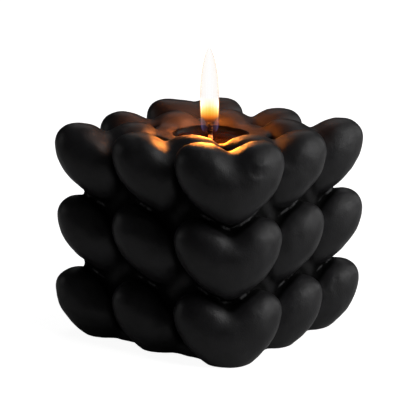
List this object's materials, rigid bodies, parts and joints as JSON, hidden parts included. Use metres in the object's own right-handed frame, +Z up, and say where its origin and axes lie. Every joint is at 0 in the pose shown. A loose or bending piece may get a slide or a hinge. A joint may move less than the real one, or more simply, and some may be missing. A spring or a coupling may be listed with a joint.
{
  "type": "candle",
  "caption": "Lit black cube candle cast as merged puffy hearts, with a round melt pool, a braided cotton wick and a flame.",
  "frame": {"origin": "centre of the flat base, on the surface that the candle stands on", "axes": "+Z up along the wick; the cube's faces look along X and Y, and the hearts face the vertical edge at +X, -Y"},
  "size_m": [0.0638, 0.0638, 0.079],
  "materials": {
    "wax": "satin black dyed paraffin wax, finely pitted",
    "melted_wax": "glossy black melted wax",
    "wick": "braided cotton, charred black at the tip",
    "flame": "glowing candle flame"
  },
  "bodies": {
    "root": {"wax_body": "wax", "wax_pool": "melted_wax", "wick": "wick", "flame": "flame"}
  },
  "joints": []
}
